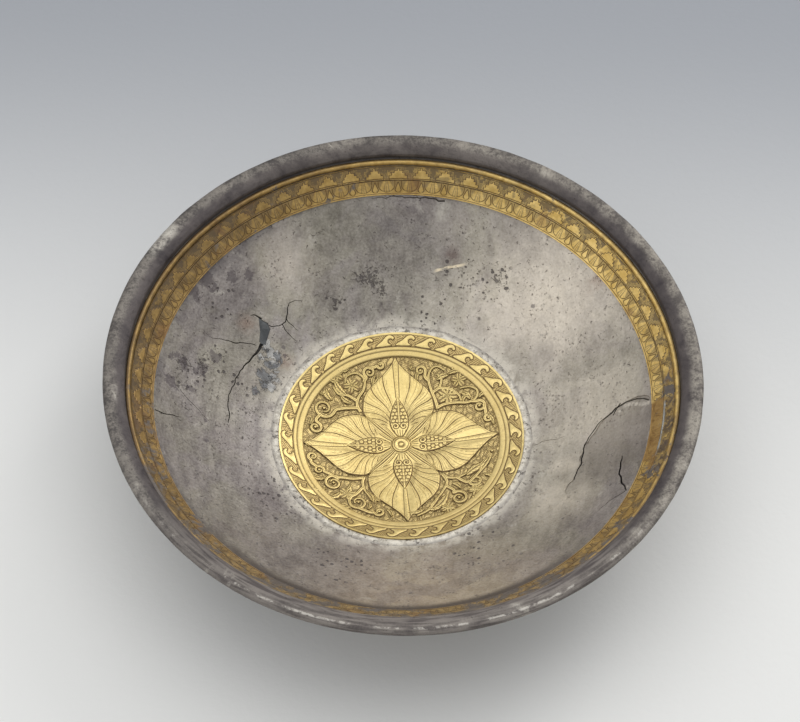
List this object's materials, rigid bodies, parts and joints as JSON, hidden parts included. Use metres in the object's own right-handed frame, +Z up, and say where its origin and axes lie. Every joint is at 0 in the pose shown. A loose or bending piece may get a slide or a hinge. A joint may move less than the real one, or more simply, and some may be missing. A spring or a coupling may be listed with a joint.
{
  "type": "bowl",
  "caption": "Shallow round-bottomed silver bowl with a heavy lip, a gilt frieze inside the rim and a gilt rosette medallion in relief",
  "frame": {"origin": "middle of the flat underside that the bowl stands on", "axes": "+Z up along the bowl's axis; +Y is the side away from the viewer of the picture, +X to the viewer's right"},
  "size_m": [0.21, 0.21, 0.0524],
  "materials": {
    "silver": "old raised silver, grey with blotchy tarnish and small pits",
    "lip_silver": "dark tarnished silver, worn bright along the crest",
    "frieze_gilt": "amber gilding, engraved and partly worn through to dark silver",
    "medallion_gilt": "light yellow gilding with dark engraved lines",
    "solder": "pale matt old solder, crusted and pitted",
    "fill": "matt grey-green filling"
  },
  "bodies": {
    "root": {"bowl_wall": "silver", "mended_fragment": "silver", "loss_fill": "fill", "rim_lip": "lip_silver", "rim_bead": "frieze_gilt", "merlon_band": "frieze_gilt", "tongue_band": "frieze_gilt", "solder_ring": "solder", "medallion_plate": "medallion_gilt", "wave_border": "medallion_gilt", "moulding_ring": "medallion_gilt", "centre_boss": "medallion_gilt", "petal_east": "medallion_gilt", "petal_north": "medallion_gilt", "petal_west": "medallion_gilt", "petal_south": "medallion_gilt", "seed_cone_east": "medallion_gilt", "seed_cone_north": "medallion_gilt", "seed_cone_west": "medallion_gilt", "seed_cone_south": "medallion_gilt", "calyx_east": "medallion_gilt", "calyx_north": "medallion_gilt", "calyx_west": "medallion_gilt", "calyx_south": "medallion_gilt", "lance_leaf_northeast": "medallion_gilt", "lance_leaf_northwest": "medallion_gilt", "lance_leaf_southwest": "medallion_gilt", "lance_leaf_southeast": "medallion_gilt", "vine_scroll_northeast": "medallion_gilt", "vine_scroll_northwest": "medallion_gilt", "vine_scroll_southwest": "medallion_gilt", "vine_scroll_southeast": "medallion_gilt"}
  },
  "joints": []
}
